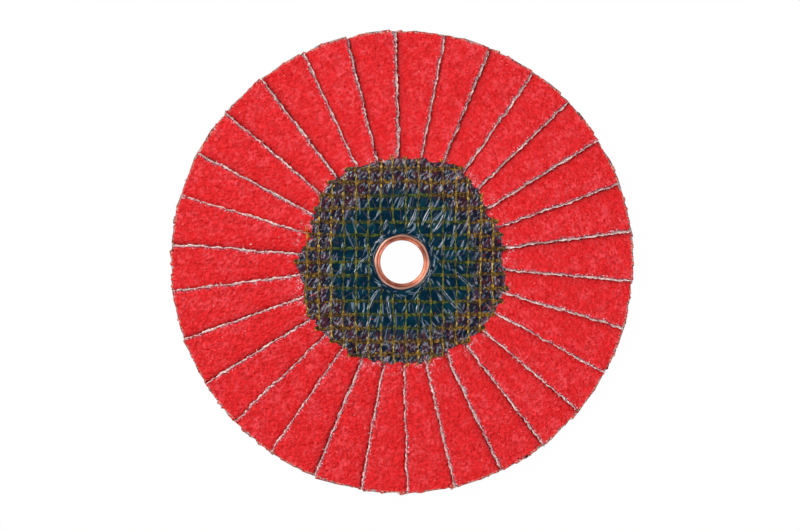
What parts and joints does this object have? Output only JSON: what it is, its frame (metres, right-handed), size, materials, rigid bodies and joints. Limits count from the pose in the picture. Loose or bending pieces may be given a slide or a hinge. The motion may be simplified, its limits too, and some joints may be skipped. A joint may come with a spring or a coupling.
{
  "type": "flap disc",
  "caption": "Thin flexible flap disc: a fan of lapped abrasive cloth flaps cast into a mesh-faced resin hub with a rolled copper eyelet round the bore.",
  "frame": {"origin": "on the bore axis, in the back face of the eyelet, on which the disc lies", "axes": "+Z along the bore out of the grain side; +X and +Y across the disc, along the wefts and the warps of the front glass mesh"},
  "size_m": [0.15, 0.15, 0.0065],
  "materials": {
    "abrasive_cloth": "matte",
    "cast_resin": "gloss",
    "glass_yarn": "satin",
    "copper": "satin"
  },
  "bodies": {
    "root": {"flap_01": "abrasive_cloth", "flap_02": "abrasive_cloth", "flap_03": "abrasive_cloth", "flap_04": "abrasive_cloth", "flap_05": "abrasive_cloth", "flap_06": "abrasive_cloth", "flap_07": "abrasive_cloth", "flap_08": "abrasive_cloth", "flap_09": "abrasive_cloth", "flap_10": "abrasive_cloth", "flap_11": "abrasive_cloth", "flap_12": "abrasive_cloth", "flap_13": "abrasive_cloth", "flap_14": "abrasive_cloth", "flap_15": "abrasive_cloth", "flap_16": "abrasive_cloth", "flap_17": "abrasive_cloth", "flap_18": "abrasive_cloth", "flap_19": "abrasive_cloth", "flap_20": "abrasive_cloth", "flap_21": "abrasive_cloth", "flap_22": "abrasive_cloth", "flap_23": "abrasive_cloth", "flap_24": "abrasive_cloth", "flap_25": "abrasive_cloth", "flap_26": "abrasive_cloth", "flap_27": "abrasive_cloth", "flap_28": "abrasive_cloth", "flap_29": "abrasive_cloth", "flap_30": "abrasive_cloth", "resin_hub": "cast_resin", "front_glass_mesh": "glass_yarn", "back_glass_mesh": "glass_yarn", "centre_eyelet": "copper"}
  },
  "joints": []
}
